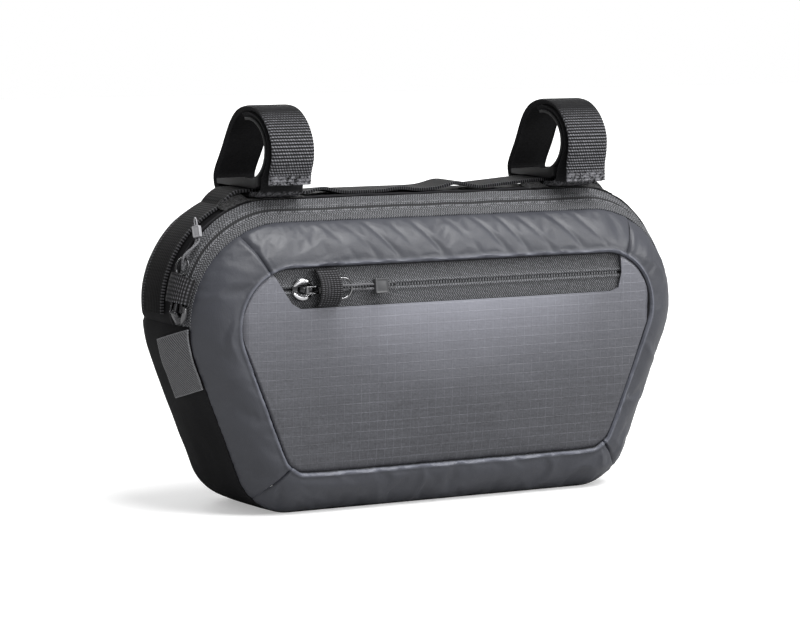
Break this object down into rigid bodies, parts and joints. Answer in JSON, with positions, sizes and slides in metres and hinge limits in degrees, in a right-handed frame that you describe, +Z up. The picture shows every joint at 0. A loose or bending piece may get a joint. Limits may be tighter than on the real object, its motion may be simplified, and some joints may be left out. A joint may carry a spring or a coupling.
{
  "type": "bicycle handlebar bag",
  "caption": "Padded pouch with tapering sides, a zipped front pocket, a main zip over the top and two hook-and-loop straps that close round a bar.",
  "frame": {"origin": "middle of the flat base, on the surface that the bag rests on", "axes": "+X along the bag's length to the right seen from the front, the front faces -Y, +Z up"},
  "size_m": [0.2682, 0.0728, 0.1819],
  "materials": {
    "coated_cloth": "satin coated cloth",
    "ripstop": "grey ripstop with a fine grid",
    "black_cloth": "matt black woven cloth",
    "zip_tape": "grey herringbone tape",
    "webbing": "ribbed black webbing",
    "rubber": "matt ridged rubber",
    "dark_metal": "polished black nickel",
    "cord": "braided grey cord",
    "moulded_end": "satin grey plastic",
    "label": "grey twill"
  },
  "bodies": {
    "root": {"border_top": "coated_cloth", "border_left": "coated_cloth", "border_right": "coated_cloth", "border_base": "coated_cloth", "pocket_panel": "ripstop", "pocket_tape_upper": "zip_tape", "pocket_tape_lower": "zip_tape", "main_tape_front": "zip_tape", "main_tape_back": "zip_tape", "gusset_upper": "black_cloth", "gusset_lower": "black_cloth", "back_panel": "black_cloth", "carry_webbing": "webbing", "strap_left": "webbing", "strap_right": "webbing", "bar_pad_left": "rubber", "bar_pad_right": "rubber", "pocket_slider": "dark_metal", "pocket_pull_ring": "dark_metal", "pocket_pull_cord": "cord", "pocket_pull_end": "moulded_end", "pocket_garage": "webbing", "main_slider": "dark_metal", "main_pull_ring": "dark_metal", "main_pull_cord": "cord", "main_pull_end": "moulded_end", "main_garage": "webbing", "side_label": "label"}
  },
  "joints": []
}
